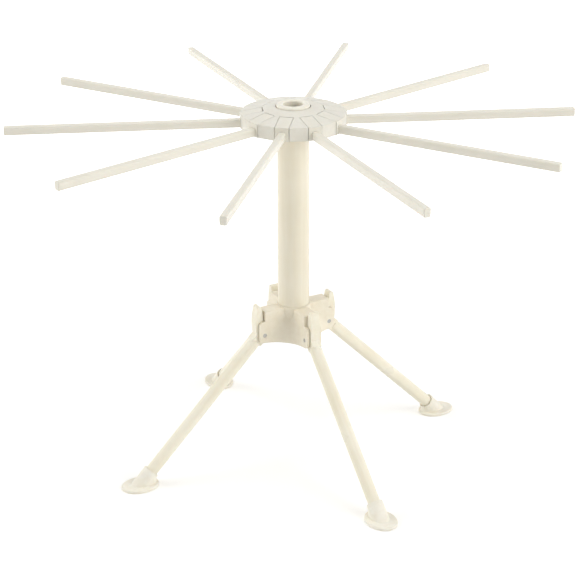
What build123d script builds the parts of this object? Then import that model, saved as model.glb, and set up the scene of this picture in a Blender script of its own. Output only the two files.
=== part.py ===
from build123d import *
from math import cos, radians, sin, sqrt, tan
import os

# Collapsible drying rack: ten rods fold down from a round hub that turns on a column,
# and four splayed legs fold in under the base. Millimetres, +Z up, the column on the Z axis,
# the floor at Z = 0, rod_1 along +X.

# Driving sizes of the whole rack
rod_count = 10
leg_count = 4
rod_reach = 210.0
rod_axis_height = 269.2
base_top_height = 124.9
leg_first_azimuth = 22.7
leg_slope = 44.7

# Rod
rod_width = 5.4
rod_height = 6.5
rod_draft = 0.3
rod_corner = 1.3
rod_tip_round = 0.8
tongue_width = 10.1
tongue_end_radius = 39.0
tongue_top_drop = 0.1
rod_pivot_radius = 26.0
trunnion_radius = 1.6
trunnion_length = 1.5

# Hub
hub_apothem = 38.4
hub_edge_above_axis = 7.0
hub_top_rise = 4.5
hub_rim_round = 0.7
hub_bore_radius = 11.95
hub_counterbore_radius = 12.95
hub_counterbore_depth = 2.6
slot_side_gap = 0.3
slot_inner_gap = 0.6
pocket_wall = 1.7
pocket_roof = 2.6

# Retainer under the hub, with its screws
retainer_radius = 30.0
retainer_thickness = 4.6
retainer_gap = 0.3
screw_count = 5
screw_circle_radius = 19.8
screw_radius = 1.1
screw_length = 8.0
screw_head_radius = 2.0
screw_head_height = 1.3
screw_head_recess = 1.6

# Column and its cap
column_radius = 11.85
column_wall = 2.0
flange_radius = 17.0
flange_thickness = 1.8
flange_clearance = 0.2
column_above_edge = 2.2
spigot_length = 19.0
spigot_radius = 10.3
spigot_wall = 2.0
bore_step = 3.0
cap_radius = 12.4
cap_bore_radius = 7.2
cap_flange_height = 4.2
cap_lip_round = 1.8
cap_plug_length = 10.0
cap_bore_round = 1.2

# Base hub, its heights measured down from its top
base_collar_radius = 12.7
base_collar_height = 0.7
base_skirt_wall = 2.0
base_hollow_depth = 10.4
leg_pivot_drop = 19.9
cheek_below_pivot = 6.0
arm_width = 12.0
arm_end_radius = 27.6
arm_slot_inner_radius = 15.0
arm_root_round = 2.5
arm_top_round = 1.2
arm_plate = 2.4
end_wall = 2.2
end_wall_drop = 13.3
cheek_radius = 32.4
cheek_top_drop = 8.7
cheek_round = 3.4
cheek_flat = 0.1

# Leg, its pin and its foot
leg_pivot_radius = 28.0
leg_radius = 4.7
leg_end_height = 5.9
leg_shoulder_distance = 7.4
leg_shoulder_round = 1.2
head_width = 7.2
head_radius = 5.0
heel_stop_gap = 0.2
heel_stop_rise = 11.8
heel_top_rise = 21.6
heel_top_radius = 1.6
heel_bulge_radius = 34.4
heel_lean = 1.5
heel_outer_lean = 1.6
pin_radius = 1.6
pin_recess = 0.2
foot_beyond_leg = 4.4
foot_long_radius = 14.8
foot_short_radius = 11.4
foot_rim = 2.6
foot_rim_round = 1.0
neck_root_long_radius = 11.3
neck_root_short_radius = 7.0
neck_waist_radius = 6.4
neck_mouth_radius = 6.2
neck_root_shift = 2.6
neck_mouth_before_end = 7.3
neck_waist_before_end = 3.6
mouth_relief_radius = 5.3
mouth_relief_depth = 1.0
sole_recess_long_radius = 11.3
sole_recess_short_radius = 7.9
sole_recess_depth = 1.0

# Clearances and the one overrun that all cuts share
hinge_clearance = 0.06
press_clearance = 0.02
seat_clearance = 0.05
overrun = 2.0

# Heights and places worked out from the sizes above
rod_pitch = 360.0 / rod_count
leg_pitch = 360.0 / leg_count
hub_bottom = rod_axis_height - rod_height / 2
hub_edge_height = rod_axis_height + hub_edge_above_axis
hub_corner_radius = hub_apothem / cos(radians(rod_pitch / 2))
hub_slope = hub_top_rise / (hub_apothem - hub_counterbore_radius)
slot_inner_radius = rod_pivot_radius - rod_height / 2 - slot_inner_gap
slot_width = tongue_width + 2 * slot_side_gap
retainer_bottom = rod_axis_height - retainer_thickness
column_top = hub_edge_height + column_above_edge
flange_top = retainer_bottom - flange_clearance
slot_mid_radius = (slot_inner_radius + hub_corner_radius + overrun) / 2
slot_reach = hub_corner_radius + overrun - slot_inner_radius
arm_slot_width = head_width + 2 * slot_side_gap
arm_top_height = base_top_height - base_collar_height
leg_pivot_height = base_top_height - leg_pivot_drop
base_bottom_height = leg_pivot_height - cheek_below_pivot
cheek_top_height = base_top_height - cheek_top_drop
end_wall_bottom = base_top_height - end_wall_drop
skirt_sweep_radius = cheek_radius - arm_width / 2 - cheek_flat
base_skirt_radius = arm_width / sqrt(2) + skirt_sweep_radius * (sqrt(2) - 1)
leg_end_distance = (leg_pivot_height - leg_end_height) / sin(radians(leg_slope))
leg_end_radius = leg_pivot_radius + leg_end_distance * cos(radians(leg_slope))
foot_centre_radius = leg_end_radius + foot_beyond_leg
neck_mouth_distance = leg_end_distance - neck_mouth_before_end
neck_waist_distance = leg_end_distance - neck_waist_before_end

os.makedirs("parts", exist_ok=True)


def save(part, label):
    """Labels a finished piece and writes it under its own name."""
    part.label = label
    export_step(part, "parts/" + label + ".step")


def radial_plane(azimuth):
    """Upright plane through the column axis: local x is the radius, local y is the height."""
    turn = radians(azimuth)
    return Plane(origin=(0, 0, 0), x_dir=(cos(turn), sin(turn), 0), z_dir=(sin(turn), -cos(turn), 0))


def radial_section(azimuth, radius=0.0):
    """Upright plane square to a radius: local x runs round the column, local y is the height."""
    turn = radians(azimuth)
    return Plane(
        origin=(radius * cos(turn), radius * sin(turn), 0),
        x_dir=(-sin(turn), cos(turn), 0),
        z_dir=(cos(turn), sin(turn), 0),
    )


def hub_top(radius):
    """Height of the hub's shallow cone at a radius."""
    return hub_edge_height + (hub_apothem - radius) * hub_slope


def along_leg(distance, offset=0.0):
    """Radius and height of a point at a distance down the leg's axis, and offset up from it."""
    tilt = radians(leg_slope)
    return (
        leg_pivot_radius + distance * cos(tilt) + offset * sin(tilt),
        leg_pivot_height - distance * sin(tilt) + offset * cos(tilt),
    )


def sole_plane(azimuth, height):
    """Level plane over a foot's centre, its local x pointing outwards."""
    turn = radians(azimuth)
    return Plane(
        origin=(foot_centre_radius * cos(turn), foot_centre_radius * sin(turn), height),
        x_dir=(cos(turn), sin(turn), 0),
        z_dir=(0, 0, 1),
    )


def leaning_plane(azimuth, radius, height, tilt):
    """Plane whose normal points outwards and down by the tilt, its local x level and sideways."""
    turn = radians(azimuth)
    lean = radians(tilt)
    return Plane(
        origin=(radius * cos(turn), radius * sin(turn), height),
        x_dir=(-sin(turn), cos(turn), 0),
        z_dir=(cos(lean) * cos(turn), cos(lean) * sin(turn), -sin(lean)),
    )


def leg_section(azimuth, distance):
    """Plane square to the leg's axis, its normal pointing down the leg."""
    radius, height = along_leg(distance)
    return leaning_plane(azimuth, radius, height, leg_slope)


# Hub disc: a ten-sided shallow cone, slotted from the rim for the rod tongues
with BuildPart() as hub_disc:
    with BuildSketch(Plane.XZ):
        with BuildLine():
            Polyline(
                (hub_bore_radius, hub_bottom),
                (hub_corner_radius + overrun, hub_bottom),
                (hub_corner_radius + overrun, hub_top(hub_corner_radius + overrun)),
                (hub_bore_radius, hub_top(hub_bore_radius)),
                close=True,
            )
        make_face()
    revolve(axis=Axis.Z)
    with BuildSketch(Plane.XY.offset(hub_bottom)):
        RegularPolygon(hub_apothem, rod_count, major_radius=False)
    extrude(amount=hub_top(0) - hub_bottom, mode=Mode.INTERSECT)
    upper_edges = hub_disc.edges().filter_by_position(Axis.Z, hub_bottom + overrun, hub_top(0))
    rim_length = 2 * hub_apothem * tan(radians(rod_pitch / 2))
    fillet([e for e in upper_edges if abs(e.length - rim_length) < hub_rim_round], hub_rim_round)
    # room for the retainer, up to the height of the trunnions
    with BuildSketch(Plane.XY.offset(hub_bottom)):
        Circle(retainer_radius + retainer_gap)
    extrude(amount=rod_height / 2, mode=Mode.SUBTRACT)
    # seat round the column cap
    with BuildSketch(Plane.XY.offset(hub_top(hub_counterbore_radius) - hub_counterbore_depth)):
        Circle(hub_counterbore_radius)
    extrude(amount=hub_counterbore_depth + overrun, mode=Mode.SUBTRACT)
    # slots, open at the rim, above and below
    with BuildSketch(Plane.XY.offset(hub_bottom - overrun)):
        with PolarLocations(slot_mid_radius, rod_count):
            Rectangle(slot_reach, slot_width)
    extrude(amount=hub_top(0) - hub_bottom + 2 * overrun, mode=Mode.SUBTRACT)
    # hollows moulded into the wedges from below
    pocket_inner = retainer_radius + retainer_gap + pocket_wall
    pocket_outer = hub_apothem - pocket_wall
    half_pitch = radians(rod_pitch / 2)
    pocket_width = 2 * (pocket_inner * sin(half_pitch) - slot_width / 2 - pocket_wall) / cos(half_pitch)
    with BuildSketch(Plane.XY.offset(hub_bottom)):
        with PolarLocations((pocket_inner + pocket_outer) / 2, rod_count, start_angle=rod_pitch / 2):
            Rectangle(pocket_outer - pocket_inner, pocket_width)
    extrude(amount=hub_edge_height - pocket_roof - hub_bottom, mode=Mode.SUBTRACT)
    # upper halves of the trunnion bearings
    for k in range(rod_count):
        with BuildSketch(radial_plane(k * rod_pitch)):
            with Locations((rod_pivot_radius, rod_axis_height)):
                Circle(trunnion_radius + hinge_clearance)
        extrude(amount=tongue_width / 2 + trunnion_length + slot_side_gap, both=True, mode=Mode.SUBTRACT)
    # pilot holes for the retainer's screws
    with BuildSketch(Plane.XY.offset(retainer_bottom)):
        with PolarLocations(screw_circle_radius, screw_count, start_angle=rod_pitch / 2):
            Circle(screw_radius + press_clearance)
    extrude(amount=screw_head_recess + screw_length + slot_side_gap, mode=Mode.SUBTRACT)
save(hub_disc.part, "hub_disc")

# Hub retainer: a star plate that closes the trunnion bearings from below
with BuildPart() as hub_retainer:
    with BuildSketch(Plane.XY.offset(retainer_bottom)):
        Circle(retainer_radius)
        Circle(hub_bore_radius, mode=Mode.SUBTRACT)
        with PolarLocations(slot_mid_radius, rod_count):
            Rectangle(slot_reach, slot_width, mode=Mode.SUBTRACT)
    extrude(amount=retainer_thickness)
    for k in range(rod_count):
        with BuildSketch(radial_plane(k * rod_pitch)):
            with Locations((rod_pivot_radius, rod_axis_height)):
                Circle(trunnion_radius + hinge_clearance)
        extrude(amount=tongue_width / 2 + trunnion_length + slot_side_gap, both=True, mode=Mode.SUBTRACT)
    with BuildSketch(Plane.XY.offset(retainer_bottom)):
        with PolarLocations(screw_circle_radius, screw_count, start_angle=rod_pitch / 2):
            Circle(screw_radius + press_clearance)
    extrude(amount=retainer_thickness, mode=Mode.SUBTRACT)
    with BuildSketch(Plane.XY.offset(retainer_bottom)):
        with PolarLocations(screw_circle_radius, screw_count, start_angle=rod_pitch / 2):
            Circle(screw_head_radius + seat_clearance)
    extrude(amount=screw_head_recess, mode=Mode.SUBTRACT)
save(hub_retainer.part, "hub_retainer")

# Retainer screws: one group of five
with BuildPart() as retainer_screws:
    head_seat = retainer_bottom + screw_head_recess
    with BuildSketch(Plane.XY.offset(head_seat)):
        with PolarLocations(screw_circle_radius, screw_count, start_angle=rod_pitch / 2):
            Circle(screw_head_radius)
    extrude(amount=-screw_head_height)
    with BuildSketch(Plane.XY.offset(head_seat)):
        with PolarLocations(screw_circle_radius, screw_count, start_angle=rod_pitch / 2):
            Circle(screw_radius)
    extrude(amount=screw_length)
save(retainer_screws.part, "retainer_screws")

# Rods: a flat tongue with two trunnions, and a bar with rounded corners
for k in range(rod_count):
    azimuth = k * rod_pitch
    turn = radians(azimuth)
    nose = rod_height / 2
    nose_diagonal = nose * cos(radians(45))
    with BuildPart() as rod:
        with BuildSketch(radial_plane(azimuth)):
            with BuildLine():
                Polyline(
                    (rod_pivot_radius, hub_bottom),
                    (tongue_end_radius, hub_bottom),
                    (tongue_end_radius, hub_top(tongue_end_radius) - tongue_top_drop),
                    (rod_pivot_radius - nose, hub_top(rod_pivot_radius - nose) - tongue_top_drop),
                    (rod_pivot_radius - nose, rod_axis_height),
                )
                ThreePointArc(
                    (rod_pivot_radius - nose, rod_axis_height),
                    (rod_pivot_radius - nose_diagonal, rod_axis_height - nose_diagonal),
                    (rod_pivot_radius, hub_bottom),
                )
            make_face()
        extrude(amount=tongue_width / 2, both=True)
        bar_start = tongue_end_radius - overrun
        bar_plane = Plane(
            origin=(bar_start * cos(turn), bar_start * sin(turn), rod_axis_height),
            x_dir=(-sin(turn), cos(turn), 0),
            z_dir=(cos(turn), sin(turn), 0),
        )
        with BuildSketch(bar_plane) as bar_section:
            with BuildLine():
                Polyline(
                    (-rod_width / 2, rod_height / 2),
                    (rod_width / 2, rod_height / 2),
                    (rod_width / 2 - rod_draft, -rod_height / 2),
                    (rod_draft - rod_width / 2, -rod_height / 2),
                    close=True,
                )
            make_face()
            fillet(bar_section.vertices(), rod_corner)
        extrude(amount=rod_reach - bar_start)
        tip = rod.faces().sort_by(lambda f: f.center().X * cos(turn) + f.center().Y * sin(turn))[-1]
        fillet(tip.edges(), rod_tip_round)
        with BuildSketch(radial_plane(azimuth)):
            with Locations((rod_pivot_radius, rod_axis_height)):
                Circle(trunnion_radius)
        extrude(amount=tongue_width / 2 + trunnion_length, both=True)
    save(rod.part, "rod_" + str(k + 1))

# Column: a tube with a spigot below and the flange that carries the hub
with BuildPart() as column:
    spigot_bottom = base_top_height - spigot_length
    column_inner = column_radius - column_wall
    spigot_inner = spigot_radius - spigot_wall
    with BuildSketch(Plane.XZ):
        with BuildLine():
            Polyline(
                (spigot_inner, spigot_bottom),
                (spigot_radius, spigot_bottom),
                (spigot_radius, base_top_height),
                (column_radius, base_top_height),
                (column_radius, flange_top - flange_radius + column_radius - flange_thickness),
                (flange_radius, flange_top - flange_thickness),
                (flange_radius, flange_top),
                (column_radius, flange_top),
                (column_radius, column_top),
                (column_inner, column_top),
                (column_inner, base_top_height + bore_step),
                (spigot_inner, base_top_height),
                close=True,
            )
        make_face()
    revolve(axis=Axis.Z)
save(column.part, "column")

# Column cap: the raised ring in the middle of the hub
with BuildPart() as column_cap:
    cap_top = column_top + cap_flange_height
    plug_radius = column_inner - press_clearance
    with BuildSketch(Plane.XZ) as cap_profile:
        with BuildLine():
            Polyline(
                (cap_bore_radius, column_top - cap_plug_length),
                (plug_radius, column_top - cap_plug_length),
                (plug_radius, column_top),
                (cap_radius, column_top),
                (cap_radius, cap_top),
                (cap_bore_radius, cap_top),
                close=True,
            )
        make_face()
        top_corners = cap_profile.vertices().group_by(Axis.Y)[-1].sort_by(Axis.X)
        fillet(top_corners[-1], cap_lip_round)
        fillet(cap_profile.vertices().group_by(Axis.Y)[-1].sort_by(Axis.X)[0], cap_bore_round)
    revolve(axis=Axis.Z)
save(column_cap.part, "column_cap")

# Base hub: four flat-topped arms that sweep down into one skirt, each ending in two cheeks
with BuildPart() as base_hub:
    arm_levels = ((base_bottom_height, skirt_sweep_radius), (arm_top_height, arm_root_round))
    for height, root_round in arm_levels:
        with BuildSketch(Plane.XY.offset(height)) as arms_outline:
            with Locations(Rotation(0, 0, leg_first_azimuth)):
                Rectangle(2 * cheek_radius, arm_width)
                Rectangle(arm_width, 2 * cheek_radius)
            inner_corners = arms_outline.vertices().sort_by(lambda v: sqrt(v.X**2 + v.Y**2))[:leg_count]
            fillet(inner_corners, root_round)
    loft(ruled=True)
    top_edges = base_hub.faces().sort_by(Axis.Z)[-1].edges()
    end_edges = top_edges.sort_by(lambda e: sqrt(e.center().X**2 + e.center().Y**2))[-leg_count:]
    fillet([e for e in top_edges if e not in end_edges], arm_top_round)
    # what the arms' ends leave above and round the cheeks
    for k in range(leg_count):
        azimuth = leg_first_azimuth + k * leg_pitch
        with BuildSketch(radial_plane(azimuth)) as beyond_cheeks:
            with BuildLine():
                Polyline(
                    (arm_end_radius, cheek_top_height),
                    (cheek_radius, cheek_top_height),
                    (cheek_radius, base_bottom_height),
                    (arm_end_radius, base_bottom_height),
                    (arm_end_radius, base_bottom_height - overrun),
                    (cheek_radius + overrun, base_bottom_height - overrun),
                    (cheek_radius + overrun, base_top_height + overrun),
                    (arm_end_radius, base_top_height + overrun),
                    close=True,
                )
            make_face()
            at_cheek = [v for v in beyond_cheeks.vertices() if abs(v.X - cheek_radius) < cheek_flat]
            fillet(at_cheek, cheek_round)
        extrude(amount=arm_width, both=True, mode=Mode.SUBTRACT)
    # collar round the column
    with BuildSketch(Plane.XY.offset(base_bottom_height)):
        Circle(base_collar_radius)
    extrude(amount=base_top_height - base_bottom_height)
    # hollow between the socket and the skirt, open below
    with BuildSketch(Plane.XZ):
        with BuildLine():
            Polyline(
                (base_collar_radius, base_bottom_height - overrun),
                (base_skirt_radius - base_skirt_wall, base_bottom_height - overrun),
                (base_skirt_radius - base_skirt_wall, base_bottom_height),
                (base_collar_radius, base_bottom_height + base_hollow_depth),
                close=True,
            )
        make_face()
    revolve(axis=Axis.Z, mode=Mode.SUBTRACT)
    # leg slots: open below, outwards and above the cheeks
    for k in range(leg_count):
        with BuildSketch(radial_plane(leg_first_azimuth + k * leg_pitch)):
            with BuildLine():
                Polyline(
                    (arm_slot_inner_radius, base_bottom_height - overrun),
                    (cheek_radius + overrun, base_bottom_height - overrun),
                    (cheek_radius + overrun, base_top_height + overrun),
                    (arm_end_radius, base_top_height + overrun),
                    (arm_end_radius, end_wall_bottom),
                    (arm_end_radius - end_wall, end_wall_bottom),
                    (arm_end_radius - end_wall, arm_top_height - arm_plate),
                    (arm_slot_inner_radius, arm_top_height - arm_plate),
                    close=True,
                )
            make_face()
        extrude(amount=arm_slot_width / 2, both=True, mode=Mode.SUBTRACT)
        with BuildSketch(radial_plane(leg_first_azimuth + k * leg_pitch)):
            with Locations((leg_pivot_radius, leg_pivot_height)):
                Circle(pin_radius + press_clearance)
        extrude(amount=arm_width / 2 + overrun, both=True, mode=Mode.SUBTRACT)
    # socket for the column's spigot
    with BuildSketch(Plane.XY.offset(base_bottom_height - overrun)):
        Circle(spigot_radius + seat_clearance)
    extrude(amount=base_top_height - base_bottom_height + 2 * overrun, mode=Mode.SUBTRACT)
save(base_hub.part, "base_hub")

# Legs: a flat head with a heel that meets the arm's end wall, and a round shaft
for k in range(leg_count):
    azimuth = leg_first_azimuth + k * leg_pitch
    turn = radians(azimuth)
    heel_inner = arm_end_radius + heel_stop_gap
    heel_stop_height = leg_pivot_height + heel_stop_rise
    heel_top_height = leg_pivot_height + heel_top_rise
    with BuildPart() as leg:
        with BuildSketch(leg_section(azimuth, leg_shoulder_distance)):
            Circle(leg_radius)
        extrude(amount=leg_end_distance - leg_shoulder_distance)
        fillet(leg.edges().filter_by(GeomType.CIRCLE).sort_by(Axis.Z)[-1], leg_shoulder_round)
        with BuildSketch(radial_plane(azimuth)) as head:
            with Locations((leg_pivot_radius, leg_pivot_height)):
                Circle(head_radius)
            with BuildLine():
                Polyline(
                    along_leg(0, leg_radius),
                    along_leg(leg_shoulder_distance + leg_shoulder_round, leg_radius),
                    along_leg(leg_shoulder_distance + leg_shoulder_round, -leg_radius),
                    along_leg(0, -leg_radius),
                    close=True,
                )
            make_face()
            with BuildLine():
                Polyline(
                    (heel_inner, leg_pivot_height),
                    (heel_inner, heel_stop_height),
                    (heel_inner + heel_lean, heel_top_height),
                )
                ThreePointArc(
                    (heel_inner + heel_lean, heel_top_height),
                    (
                        (heel_inner + heel_lean + heel_bulge_radius - heel_outer_lean) / 2,
                        heel_top_height + heel_top_radius,
                    ),
                    (heel_bulge_radius - heel_outer_lean, heel_top_height),
                )
                ThreePointArc(
                    (heel_bulge_radius - heel_outer_lean, heel_top_height),
                    (heel_bulge_radius, (heel_top_height + leg_pivot_height) / 2),
                    along_leg(head_radius, leg_radius / 2),
                )
                Line(along_leg(head_radius, leg_radius / 2), (heel_inner, leg_pivot_height))
            make_face()
        extrude(amount=head_width / 2, both=True)
        with BuildSketch(radial_plane(azimuth)):
            with Locations((leg_pivot_radius, leg_pivot_height)):
                Circle(pin_radius + hinge_clearance)
        extrude(amount=head_width, both=True, mode=Mode.SUBTRACT)
    save(leg.part, "leg_" + str(k + 1))

    with BuildPart() as leg_pin:
        with BuildSketch(radial_plane(azimuth)):
            with Locations((leg_pivot_radius, leg_pivot_height)):
                Circle(pin_radius)
        extrude(amount=arm_width / 2 - pin_recess, both=True)
    save(leg_pin.part, "leg_pin_" + str(k + 1))

    # Foot: an oval sole with a leaning, flared neck round the leg's end
    with BuildPart() as foot:
        with BuildSketch(sole_plane(azimuth, 0)):
            Ellipse(foot_long_radius, foot_short_radius)
        extrude(amount=foot_rim)
        fillet(foot.faces().sort_by(Axis.Z)[0].edges(), foot_rim_round)
        fillet(foot.faces().sort_by(Axis.Z)[-1].edges(), foot_rim_round)
        with BuildSketch(leaning_plane(azimuth, foot_centre_radius - neck_root_shift, foot_rim / 2, 90)):
            Ellipse(neck_root_short_radius, neck_root_long_radius)
        waist_place = along_leg(neck_waist_distance)
        with BuildSketch(leaning_plane(azimuth, waist_place[0], waist_place[1], (leg_slope + 90) / 2)):
            Circle(neck_waist_radius)
        with BuildSketch(leg_section(azimuth, neck_mouth_distance)):
            Circle(neck_mouth_radius)
        loft()
        with BuildSketch(leg_section(azimuth, neck_mouth_distance - overrun)):
            Circle(leg_radius + seat_clearance)
        extrude(amount=leg_end_distance - neck_mouth_distance + overrun, mode=Mode.SUBTRACT)
        with BuildSketch(leg_section(azimuth, neck_mouth_distance - overrun)):
            Circle(mouth_relief_radius)
        extrude(amount=overrun + mouth_relief_depth, mode=Mode.SUBTRACT)
        with BuildSketch(sole_plane(azimuth, 0)):
            Ellipse(sole_recess_long_radius, sole_recess_short_radius)
        extrude(amount=sole_recess_depth, mode=Mode.SUBTRACT)
    save(foot.part, "foot_" + str(k + 1))
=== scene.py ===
import bmesh
import bpy
from math import cos, pi, radians, sin
from mathutils import Matrix, Vector


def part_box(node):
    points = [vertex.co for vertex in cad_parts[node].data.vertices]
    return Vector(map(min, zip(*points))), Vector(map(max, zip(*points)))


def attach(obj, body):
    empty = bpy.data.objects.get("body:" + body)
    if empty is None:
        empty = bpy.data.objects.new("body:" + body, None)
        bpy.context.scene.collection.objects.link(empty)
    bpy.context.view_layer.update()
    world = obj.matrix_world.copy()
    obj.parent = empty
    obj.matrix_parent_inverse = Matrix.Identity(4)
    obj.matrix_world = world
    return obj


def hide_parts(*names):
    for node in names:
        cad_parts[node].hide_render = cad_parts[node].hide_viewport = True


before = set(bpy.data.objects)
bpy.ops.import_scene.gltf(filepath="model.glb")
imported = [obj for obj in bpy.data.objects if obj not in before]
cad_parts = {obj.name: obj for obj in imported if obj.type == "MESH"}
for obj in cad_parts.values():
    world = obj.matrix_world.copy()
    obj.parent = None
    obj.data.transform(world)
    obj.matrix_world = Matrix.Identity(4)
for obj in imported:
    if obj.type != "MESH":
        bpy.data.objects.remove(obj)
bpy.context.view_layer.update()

# The rack's layout, in metres and degrees, as the solids have it
rod_count = 10
leg_count = 4
leg_first_azimuth = 22.7
leg_slope = 44.7
rod_axis_height = 0.2692
leg_pivot_radius = 0.028
leg_pivot_height = 0.105
screw_count = 5
screw_circle_radius = 0.0198
screw_first_azimuth = 18.0

# The mix node's sockets for colours: the share, the two colours and the result
mix_share, mix_first, mix_second, mix_result = 0, 6, 7, 2

scene = bpy.context.scene


def linear(code):
    """An sRGB hex colour as linear RGBA."""
    parts = [int(code[k:k + 2], 16) / 255 for k in (0, 2, 4)]
    return [p / 12.92 if p <= 0.04045 else ((p + 0.055) / 1.055) ** 2.4 for p in parts] + [1.0]


def per_metre(millimetres):
    """Scale of a pattern whose features are this many millimetres apart, on coordinates in metres."""
    return 1000.0 / millimetres


def add(tree, kind, values=None, **settings):
    """Adds a node. settings are its own properties. values go to its sockets: a constant, or a link from
    a socket or from a node's first output."""
    made = tree.nodes.new(kind)
    for name, value in settings.items():
        setattr(made, name, value)
    for key, value in (values or {}).items():
        source = value.outputs[0] if isinstance(value, bpy.types.Node) else value
        if isinstance(source, bpy.types.NodeSocket):
            tree.links.new(source, made.inputs[key])
        else:
            made.inputs[key].default_value = source
    return made


def new_material(name):
    made = bpy.data.materials.new(name)
    made.use_nodes = True
    made.node_tree.nodes.clear()
    return made, made.node_tree


# Coordinates that follow the mouldings

def straight(tree):
    """The piece's own place, in metres."""
    return add(tree, "ShaderNodeTexCoord").outputs["Object"]


def along_spokes(tree, count, first_azimuth, pivot_radius, pivot_height, slope):
    """Coordinates of the nearest of the spokes: x down its length, y across it, z square to both."""
    pitch = 2 * pi / count
    pivot = (pivot_radius, 0.0, pivot_height)
    place = add(tree, "ShaderNodeSeparateXYZ", {0: straight(tree)}).outputs
    # the angle from the nearest spoke
    angle = add(tree, "ShaderNodeMath", {0: place[1], 1: place[0]}, operation="ARCTAN2")
    shifted = add(
        tree, "ShaderNodeMath", {0: angle, 1: pitch / 2 - radians(first_azimuth)}, operation="ADD",
    )
    turns = add(tree, "ShaderNodeMath", {0: shifted, 1: pitch}, operation="FLOORED_MODULO")
    off = add(tree, "ShaderNodeMath", {0: turns, 1: pitch / 2}, operation="SUBTRACT")
    # the place with that spoke turned to azimuth zero, and then level
    flat = add(tree, "ShaderNodeCombineXYZ", {0: place[0], 1: place[1], 2: 0.0})
    reach = add(tree, "ShaderNodeVectorMath", {0: flat}, operation="LENGTH").outputs["Value"]
    cosine = add(tree, "ShaderNodeMath", {0: off}, operation="COSINE")
    sine = add(tree, "ShaderNodeMath", {0: off}, operation="SINE")
    radius = add(tree, "ShaderNodeMath", {0: reach, 1: cosine}, operation="MULTIPLY")
    across = add(tree, "ShaderNodeMath", {0: reach, 1: sine}, operation="MULTIPLY")
    leaning = add(tree, "ShaderNodeCombineXYZ", {0: radius, 1: across, 2: place[2]})
    level = add(
        tree, "ShaderNodeVectorRotate",
        {"Vector": leaning, "Center": pivot, "Axis": (0.0, 1.0, 0.0), "Angle": -radians(slope)},
        rotation_type="AXIS_ANGLE",
    )
    return add(tree, "ShaderNodeVectorMath", {0: level, 1: pivot}, operation="SUBTRACT").outputs[0]


def along_rods(tree):
    return along_spokes(tree, rod_count, 0.0, 0.0, rod_axis_height, 0.0)


def along_legs(tree):
    return along_spokes(tree, leg_count, leg_first_azimuth, leg_pivot_radius, leg_pivot_height, leg_slope)


# Moulded plastics. Sizes, widths and depths are in millimetres. The mould's grain and the scuffs are
# really about 0.1 wide, too fine to show, and are drawn as coarse as they need to show

plastic_ior = 1.49
light_share = 0.12
light_reach = (1.0, 0.75, 0.5)
light_depth = 3.0
cloud_size = 34.0
flow_width = 3.4
shade_low, shade_high = 0.72, 1.28
scuff_width = 0.9
scuff_turn = (0.35, 0.2, 0.6)
scuff_stretch = (0.12, 1.0, 1.0)
scuff_low, scuff_high = 0.63, 0.72
gloss_low, gloss_high = 0.3, 0.7
gloss_swing = 0.05
# the pale colour mixed onto the edges: partly wear, partly a painted highlight
wear_and_highlight_colour = "f7f4ea"
edge_lean, face_lean = 0.82, 0.985
parting_reach = 0.35
parting_rise = 0.12
parting_strength = 0.6


def edge_share(tree, rounded):
    """1 on an outer or inner edge and 0 on open faces, from how far the rounded normal leans."""
    plain = add(tree, "ShaderNodeNewGeometry").outputs["Normal"]
    lean = add(tree, "ShaderNodeVectorMath", {0: rounded, 1: plain}, operation="DOT_PRODUCT")
    return add(
        tree, "ShaderNodeMapRange",
        {
            "Value": lean.outputs["Value"], "From Min": edge_lean, "From Max": face_lean,
            "To Min": 1.0, "To Max": 0.0,
        },
    )


def parting_line(tree, place, under):
    """The thin line where the two halves of the mould met, half way up the bar, over the bumps below it."""
    height = add(tree, "ShaderNodeSeparateXYZ", {0: place}).outputs[2]
    level = add(tree, "ShaderNodeMath", {0: height}, operation="ABSOLUTE")
    ridge = add(
        tree, "ShaderNodeMapRange",
        {"Value": level, "From Max": parting_reach / 1000, "To Min": 1.0, "To Max": 0.0},
        interpolation_type="SMOOTHSTEP",
    )
    return add(
        tree, "ShaderNodeBump",
        {"Strength": parting_strength, "Distance": parting_rise / 1000, "Height": ridge, "Normal": under},
    )


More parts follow.
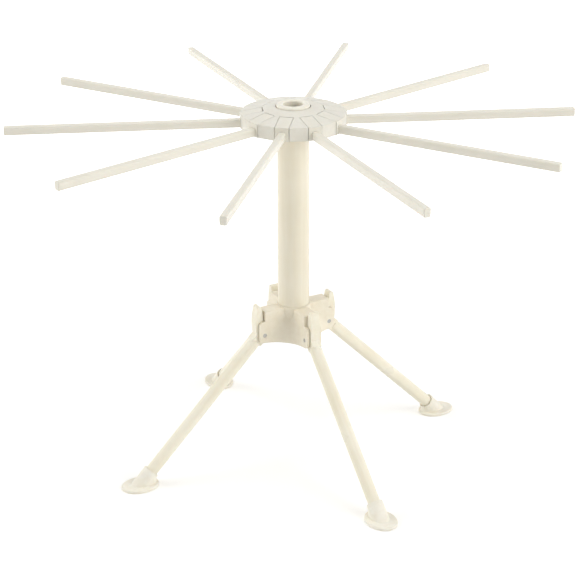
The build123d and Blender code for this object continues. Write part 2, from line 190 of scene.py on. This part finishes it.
def moulded_plastic(
    name, pale, deep, shine, coordinates=straight, flow_stretch=(1.0, 1.0, 1.0),
    grain_size=1.6, grain_depth=0.02, sink_size=9.0, sink_depth=0.05, parting=False, scuffs=0.3,
    edge_round=0.45, edge_wear_and_highlight=0.35, edge_dull=0.1,
):
    """Moulded plastic: cloudy colour, flow lines, the mould's grain, shallow sinks, fine scuffs from use,
    and edges that the mould rounds, handling leaves a little duller, and that are painted paler: wear and a
    painted highlight."""
    made, tree = new_material(name)
    place = coordinates(tree)
    rounded = add(tree, "ShaderNodeBevel", {"Radius": edge_round / 1000}, samples=4)
    # the edge mask: edges are duller from wear, and painted paler, partly for wear and partly as a painted
    # highlight
    worn_and_highlit_edges = edge_share(tree, rounded.outputs[0])

    # colour: clouds and flow lines together, paler on the edges, partly for wear and partly as a painted
    # highlight
    cloud = add(
        tree, "ShaderNodeTexNoise",
        {"Vector": place, "Scale": per_metre(cloud_size), "Detail": 3.0, "Roughness": 0.55},
    )
    stretched = add(tree, "ShaderNodeVectorMath", {0: place, 1: flow_stretch}, operation="MULTIPLY")
    flow = add(
        tree, "ShaderNodeTexNoise",
        {"Vector": stretched, "Scale": per_metre(flow_width), "Detail": 4.0, "Roughness": 0.6},
    )
    shade = add(tree, "ShaderNodeMath", {0: cloud, 1: flow}, operation="ADD")
    share = add(
        tree, "ShaderNodeMapRange", {"Value": shade, "From Min": shade_low, "From Max": shade_high},
    )
    cloudy = add(
        tree, "ShaderNodeMix", {mix_share: share, mix_first: linear(pale), mix_second: linear(deep)},
        data_type="RGBA",
    ).outputs[mix_result]
    wear_and_highlight_share = add(tree, "ShaderNodeMapRange", {"Value": worn_and_highlit_edges, "To Max": edge_wear_and_highlight})
    colour = add(
        tree, "ShaderNodeMix", {mix_share: wear_and_highlight_share, mix_first: cloudy, mix_second: linear(wear_and_highlight_colour)},
        data_type="RGBA",
    ).outputs[mix_result]

    # gloss: it drifts with the clouds, and scuffs and worn edges are duller
    scuff_place = add(
        tree, "ShaderNodeVectorRotate", {"Vector": stretched, "Rotation": scuff_turn},
        rotation_type="EULER_XYZ",
    )
    scuff_lines = add(tree, "ShaderNodeVectorMath", {0: scuff_place, 1: scuff_stretch}, operation="MULTIPLY")
    scuff = add(
        tree, "ShaderNodeTexNoise",
        {"Vector": scuff_lines, "Scale": per_metre(scuff_width), "Detail": 2.0, "Roughness": 0.5},
    )
    scuffed = add(
        tree, "ShaderNodeMapRange",
        {"Value": scuff, "From Min": scuff_low, "From Max": scuff_high, "To Max": scuffs},
    )
    drift = add(
        tree, "ShaderNodeMapRange",
        {
            "Value": cloud, "From Min": gloss_low, "From Max": gloss_high,
            "To Min": shine - gloss_swing, "To Max": shine + gloss_swing,
        },
    )
    rubbed = add(tree, "ShaderNodeMapRange", {"Value": worn_and_highlit_edges, "To Max": edge_dull})
    used = add(tree, "ShaderNodeMath", {0: scuffed, 1: rubbed}, operation="ADD")
    roughness = add(tree, "ShaderNodeMath", {0: drift, 1: used}, operation="ADD", use_clamp=True)

    # relief: sinks over the rounded edges, the mould's grain over both
    sink = add(
        tree, "ShaderNodeTexNoise",
        {"Vector": place, "Scale": per_metre(sink_size), "Detail": 1.0, "Roughness": 0.4},
    )
    low = add(
        tree, "ShaderNodeBump",
        {"Strength": 1.0, "Distance": sink_depth / 1000, "Height": sink, "Normal": rounded},
    )
    grain = add(
        tree, "ShaderNodeTexNoise",
        {"Vector": place, "Scale": per_metre(grain_size), "Detail": 3.0, "Roughness": 0.65},
    )
    fine = add(
        tree, "ShaderNodeBump",
        {"Strength": 1.0, "Distance": grain_depth / 1000, "Height": grain, "Normal": low},
    )
    shader = add(
        tree, "ShaderNodeBsdfPrincipled",
        {
            "Base Color": colour,
            "Roughness": roughness,
            "Normal": parting_line(tree, place, fine) if parting else fine,
            "IOR": plastic_ior,
            "Subsurface Weight": light_share,
            "Subsurface Radius": light_reach,
            "Subsurface Scale": light_depth / 1000,
        },
    )
    add(tree, "ShaderNodeOutputMaterial", {"Surface": shader})
    return made


# Polypropylene, moulded in a spark-eroded tool: a satin top that scatters the light evenly
# its edges are painted paler than on the other parts: mostly a painted highlight along the rim, partly wear
hub_plastic = moulded_plastic(
    "polypropylene_satin_hub", "e8e5da", "e2ded2", 0.46, grain_size=1.3, grain_depth=0.035,
    sink_size=14.0, sink_depth=0.06, scuffs=0.22, edge_round=0.8, edge_wear_and_highlight=0.6,
)
# Polypropylene, moulded in a polished tool: a clear highlight round the ring's lip
cap_plastic = moulded_plastic(
    "polypropylene_polished_cap", "f4f0e4", "ede8d8", 0.26, grain_size=2.2, grain_depth=0.01,
    sink_size=8.0, sink_depth=0.03, scuffs=0.25,
)
# Polypropylene tube, moulded upright: long soft highlights with faint lines up its length
column_plastic = moulded_plastic(
    "polypropylene_moulded_column", "f1ead7", "ebe2cb", 0.34, flow_stretch=(1.0, 1.0, 0.05),
    grain_size=2.4, grain_depth=0.012, sink_size=12.0, sink_depth=0.06,
)
# Polypropylene bars filled from the hub end: smooth and rather glossy, with flow lines to the tip
rod_plastic = moulded_plastic(
    "polypropylene_moulded_rods", "eae6da", "e3dfd1", 0.34, coordinates=along_rods,
    flow_stretch=(0.04, 1.0, 1.0), grain_size=1.8, grain_depth=0.012, sink_size=11.0, parting=True,
)
# Polypropylene, moulded with thick arms: the same cream with shallow sinks over the walls
base_plastic = moulded_plastic(
    "polypropylene_moulded_base", "f1ead8", "eae1cb", 0.36, grain_size=1.8, grain_depth=0.018,
    sink_size=7.0, sink_depth=0.08,
)
# Polypropylene rods, moulded round in a polished tool: glossy, with flow lines along the shaft
leg_plastic = moulded_plastic(
    "polypropylene_moulded_legs", "f5f0df", "ede6cf", 0.3, coordinates=along_legs,
    flow_stretch=(0.05, 1.0, 1.0), grain_size=2.0, grain_depth=0.01, sink_size=10.0, sink_depth=0.06,
)
# Soft vinyl, moulded: satin feet with a broad and dull highlight
foot_plastic = moulded_plastic(
    "soft_vinyl_moulded_feet", "f5f1e4", "ede6d4", 0.48, grain_size=1.4, grain_depth=0.03,
    sink_size=6.0, sink_depth=0.08, scuffs=0.2,
)


# Steel. Widths and depths are in millimetres. The marks are really about 0.05 wide and are drawn coarser

steel_mark_width = 0.25
steel_mark_depth = 0.02
steel_mark_strength = 0.5
steel_low, steel_high = 0.3, 0.7
steel_smoother, steel_rougher = 0.06, 0.08


def stainless(name, pale, deep, shine, mark_stretch):
    """Stainless steel: the fine marks of drawing or heading in its colour, gloss and surface."""
    made, tree = new_material(name)
    lines = add(tree, "ShaderNodeVectorMath", {0: straight(tree), 1: mark_stretch}, operation="MULTIPLY")
    marks = add(
        tree, "ShaderNodeTexNoise",
        {"Vector": lines, "Scale": per_metre(steel_mark_width), "Detail": 4.0, "Roughness": 0.6},
    )
    colour = add(
        tree, "ShaderNodeMix", {mix_share: marks, mix_first: linear(pale), mix_second: linear(deep)},
        data_type="RGBA",
    ).outputs[mix_result]
    roughness = add(
        tree, "ShaderNodeMapRange",
        {
            "Value": marks, "From Min": steel_low, "From Max": steel_high,
            "To Min": shine - steel_smoother, "To Max": shine + steel_rougher,
        },
    )
    surface = add(
        tree, "ShaderNodeBump",
        {"Strength": steel_mark_strength, "Distance": steel_mark_depth / 1000, "Height": marks},
    )
    shader = add(
        tree, "ShaderNodeBsdfPrincipled",
        {"Base Color": colour, "Metallic": 1.0, "Roughness": roughness, "Normal": surface},
    )
    add(tree, "ShaderNodeOutputMaterial", {"Surface": shader})
    return made


# Stainless steel wire, drawn and cut: soft grey with lines along the pin
pin_steel = stainless("stainless_steel_drawn_pins", "c9c8c5", "a9a8a5", 0.3, (1.0, 1.0, 0.2))
# Stainless steel, cold headed: brighter, with a fine even grain on the pressed face
screw_steel = stainless("stainless_steel_headed_screws", "cfcecb", "b0afac", 0.26, (1.0, 1.0, 1.0))

finish_of = {
    "hub_disc": hub_plastic,
    "hub_retainer": hub_plastic,
    "column_cap": cap_plastic,
    "column": column_plastic,
    "base_hub": base_plastic,
    "retainer_screws": screw_steel,
}
for k in range(1, rod_count + 1):
    finish_of["rod_%d" % k] = rod_plastic
for k in range(1, leg_count + 1):
    finish_of["leg_%d" % k] = leg_plastic
    finish_of["leg_pin_%d" % k] = pin_steel
    finish_of["foot_%d" % k] = foot_plastic
for node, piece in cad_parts.items():
    for place in piece.material_slots:
        place.material = finish_of[node]


# Retainer screws: pan heads with a cross recess, five round the retainer

def mesh_object(name, shape):
    mesh = bpy.data.meshes.new(name)
    shape.to_mesh(mesh)
    shape.free()
    made = bpy.data.objects.new(name, mesh)
    scene.collection.objects.link(made)
    return made


def plain_mesh(piece, name):
    """The evaluated piece as a new object with a plain mesh; the first one is removed."""
    bpy.context.view_layer.update()
    graph = bpy.context.evaluated_depsgraph_get()
    mesh = bpy.data.meshes.new_from_object(piece.evaluated_get(graph))
    made = bpy.data.objects.new(name, mesh)
    mesh.name = name
    scene.collection.objects.link(made)
    bpy.data.objects.remove(piece)
    return made


merge_distance = 1e-7


def turned_shape(profile, steps):
    """A closed turned shape from (radius, height) points that start and end on its axis."""
    shape = bmesh.new()
    points = [shape.verts.new((r, 0.0, z)) for r, z in profile]
    for a, b in zip(points, points[1:]):
        shape.edges.new((a, b))
    bmesh.ops.spin(
        shape, geom=list(shape.verts) + list(shape.edges), cent=(0, 0, 0), axis=(0, 0, 1),
        angle=2 * pi, steps=steps,
    )
    bmesh.ops.remove_doubles(shape, verts=shape.verts, dist=merge_distance)
    bmesh.ops.recalc_face_normals(shape, faces=shape.faces)
    return shape


def cross_shape(span, width, depth, bottom_share):
    """Two crossed wedges that cut the recess: full span at the face, less at the bottom."""
    shape = bmesh.new()
    for turn in (0.0, pi / 2):
        corners = bmesh.ops.create_cube(shape, size=1.0)["verts"]
        for corner in corners:
            bottom = corner.co.z > 0
            corner.co = Vector((
                corner.co.x * span * (bottom_share if bottom else 1.0),
                corner.co.y * width,
                depth if bottom else -depth / 2,
            ))
        bmesh.ops.rotate(shape, verts=corners, cent=(0, 0, 0), matrix=Matrix.Rotation(turn, 3, "Z"))
    return shape


screw_head_radius = 0.002
screw_head_height = 0.0013
screw_shank_radius = 0.0011
recess_span = 0.0023
recess_width = 0.00055
recess_depth = 0.0008
recess_bottom_share = 0.45
turning_steps = 32
screw_seed = 4

screw_low, screw_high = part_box("retainer_screws")
screw_length = screw_high.z - screw_low.z
# the head's face looks down, so the screw is drawn with its face at zero and its shank above;
# the head's rounding is given as shares of its radius and height
head_rounding = ((0.55, 0.0), (0.82, 0.08), (0.96, 0.3), (1.0, 0.6), (1.0, 1.0))
head = mesh_object("screw_blank", turned_shape(
    [(0.0, 0.0)]
    + [(r * screw_head_radius, z * screw_head_height) for r, z in head_rounding]
    + [(screw_shank_radius, screw_head_height), (screw_shank_radius, screw_length), (0.0, screw_length)],
    turning_steps,
))
cross = mesh_object(
    "screw_recess", cross_shape(recess_span, recess_width, recess_depth, recess_bottom_share),
)
carve = head.modifiers.new("recess", "BOOLEAN")
carve.operation = "DIFFERENCE"
carve.solver = "EXACT"
# the two wedges cross each other
carve.use_self = True
carve.object = cross
one_screw = plain_mesh(head, "one_screw")
bpy.data.objects.remove(cross)


def screw_ring_tree():
    """Geometry nodes: copies of one screw round a circle, each turned by chance as a fitter leaves it."""
    tree = bpy.data.node_groups.new("screw_ring", "GeometryNodeTree")
    for label, kind in (
        ("Screw", "NodeSocketObject"), ("Count", "NodeSocketInt"), ("Circle Radius", "NodeSocketFloat"),
        ("First Turn", "NodeSocketFloat"), ("Height", "NodeSocketFloat"), ("Finish", "NodeSocketMaterial"),
    ):
        tree.interface.new_socket(label, in_out="INPUT", socket_type=kind)
    tree.interface.new_socket("Geometry", in_out="OUTPUT", socket_type="NodeSocketGeometry")
    given = add(tree, "NodeGroupInput").outputs
    ring = add(
        tree, "GeometryNodeMeshCircle", {"Vertices": given["Count"], "Radius": given["Circle Radius"]},
    )
    lift = add(tree, "ShaderNodeCombineXYZ", {2: given["Height"]})
    spin = add(tree, "ShaderNodeCombineXYZ", {2: given["First Turn"]})
    placed = add(
        tree, "GeometryNodeTransform", {"Geometry": ring, "Translation": lift, "Rotation": spin},
    )
    chance = add(
        tree, "FunctionNodeRandomValue",
        {0: (0.0, 0.0, 0.0), 1: (0.0, 0.0, pi / 2), "Seed": screw_seed}, data_type="FLOAT_VECTOR",
    )
    screw = add(tree, "GeometryNodeObjectInfo", {"Object": given["Screw"]}).outputs["Geometry"]
    copies = add(
        tree, "GeometryNodeInstanceOnPoints", {"Points": placed, "Instance": screw, "Rotation": chance},
    )
    real = add(tree, "GeometryNodeRealizeInstances", {"Geometry": copies})
    dressed = add(tree, "GeometryNodeSetMaterial", {"Geometry": real, "Material": given["Finish"]})
    add(tree, "NodeGroupOutput", {"Geometry": dressed})
    return tree


def grown(name, tree, inputs):
    """A plain mesh piece from a Geometry Nodes tree and the values of its named inputs."""
    carrier = mesh_object(name + "_carrier", bmesh.new())
    modifier = carrier.modifiers.new("grow", "NODES")
    modifier.node_group = tree
    for item in tree.interface.items_tree:
        if item.in_out == "INPUT":
            modifier[item.identifier] = inputs[item.name]
    return plain_mesh(carrier, name)


screws = grown("retainer_screws_recessed", screw_ring_tree(), {
    "Screw": one_screw,
    "Count": screw_count,
    "Circle Radius": screw_circle_radius,
    "First Turn": radians(screw_first_azimuth),
    "Height": screw_low.z,
    "Finish": screw_steel,
})
bpy.data.objects.remove(one_screw)
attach(screws, "hub")
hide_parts("retainer_screws")


def seen_share(tree):
    """1 for the rays that show a surface to the camera, straight or mirrored, and 0 for those that light."""
    ray = add(tree, "ShaderNodeLightPath").outputs
    seen_or_mirrored = add(
        tree, "ShaderNodeMath", {0: ray["Is Camera Ray"], 1: ray["Is Glossy Ray"]}, operation="MAXIMUM",
    )
    return add(
        tree, "ShaderNodeMath", {0: seen_or_mirrored, 1: ray["Is Transmission Ray"]}, operation="MAXIMUM",
    )


# Floor: plain pale paper, lit like the rest and lifted to white where the camera sees it. Near the rack
# the lift leaves its shadow; far off, where the lamps fade, it makes the paper white

floor_half = 14.0
paper_cloud_size = 60.0
lift_near = 0.2
lift_far = 1.0
near_radius = 0.2
far_radius = 1.2

floor_shape = bmesh.new()
bmesh.ops.create_grid(floor_shape, x_segments=1, y_segments=1, size=floor_half)
floor = mesh_object("floor", floor_shape)
floor_paper, tree = new_material("white_paper_floor")
paper_noise = add(
    tree, "ShaderNodeTexNoise",
    {"Vector": straight(tree), "Scale": per_metre(paper_cloud_size), "Detail": 2.0, "Roughness": 0.5},
)
paper_colour = add(
    tree, "ShaderNodeMix",
    {mix_share: paper_noise, mix_first: linear("f9f8f6"), mix_second: linear("f6f5f3")},
    data_type="RGBA",
).outputs[mix_result]
paper = add(tree, "ShaderNodeBsdfDiffuse", {"Color": paper_colour})
distance = add(tree, "ShaderNodeVectorMath", {0: straight(tree)}, operation="LENGTH").outputs["Value"]
lift_here = add(
    tree, "ShaderNodeMapRange",
    {
        "Value": distance, "From Min": near_radius, "From Max": far_radius,
        "To Min": lift_near, "To Max": lift_far,
    },
    interpolation_type="SMOOTHSTEP",
)
lift_level = add(tree, "ShaderNodeMath", {0: seen_share(tree), 1: lift_here}, operation="MULTIPLY")
lift_light = add(tree, "ShaderNodeEmission", {"Strength": lift_level})
lifted_paper = add(tree, "ShaderNodeAddShader", {0: paper, 1: lift_light})
add(tree, "ShaderNodeOutputMaterial", {"Surface": lifted_paper})
floor.data.materials.append(floor_paper)

# World: plain soft light from all round, white where it is seen or mirrored

world_level = 0.42
world = bpy.data.worlds.new("studio")
scene.world = world
world.use_nodes = True
tree = world.node_tree
tree.nodes.clear()
level = add(
    tree, "ShaderNodeMapRange", {"Value": seen_share(tree), "To Min": world_level, "To Max": 1.0},
)
sky = add(tree, "ShaderNodeBackground", {"Color": (1.0, 1.0, 1.0, 1.0), "Strength": level})
add(tree, "ShaderNodeOutputWorld", {"Surface": sky})


# Lamps: a large soft box at each side, the right one a little stronger, and a weak one above. Only the
# one above is mirrored, so that the side boxes leave no glare on the hub's flat top from any side

def soft_lamp(name, place, target, size, power, mirrored=False):
    light = bpy.data.lights.new(name, "AREA")
    light.shape = "DISK"
    light.size = size
    light.energy = power
    made = bpy.data.objects.new(name, light)
    scene.collection.objects.link(made)
    aim = (Vector(target) - Vector(place)).to_track_quat("-Z", "Y")
    made.matrix_world = Matrix.Translation(place) @ aim.to_matrix().to_4x4()
    made.visible_glossy = mirrored


# the rack's middle, which every lamp faces
middle = (0.0, 0.0, 0.15)
soft_lamp("right_box", (2.3, -1.4, 1.5), middle, 2.6, 50.0)
soft_lamp("left_box", (-2.6, 0.5, 1.5), middle, 2.6, 46.0)
soft_lamp("top_box", (0.0, 0.0, 2.6), middle, 1.6, 9.0, mirrored=True)

# Camera, at the photograph's place: its turn, tilt and roll come from the fit to the rod tips and feet
view_place = Vector((-0.1287, -1.2492, 0.6694))
view_turn = radians(-5.69)
view_tilt = radians(23.00)
view_roll = radians(0.20)
frame_pixels = 576
focal_pixels = 1793.1
sensor_width = 36.0
view_end = 60.0
level_right = Vector((cos(view_turn), sin(view_turn), 0.0))
level_ahead = Vector((-sin(view_turn), cos(view_turn), 0.0))
upright = Vector((0.0, 0.0, 1.0))
ahead = level_ahead * cos(view_tilt) - upright * sin(view_tilt)
tilted_up = level_ahead * sin(view_tilt) + upright * cos(view_tilt)
right = level_right * cos(view_roll) - tilted_up * sin(view_roll)
top = level_right * sin(view_roll) + tilted_up * cos(view_roll)
lens = bpy.data.cameras.new("photo_camera")
lens.sensor_width = sensor_width
lens.lens = focal_pixels / frame_pixels * sensor_width
lens.clip_end = view_end
camera = bpy.data.objects.new("photo_camera", lens)
scene.collection.objects.link(camera)
camera.matrix_world = Matrix.Translation(view_place) @ Matrix((right, top, -ahead)).transposed().to_4x4()
scene.camera = camera

scene.view_settings.view_transform = "Standard"
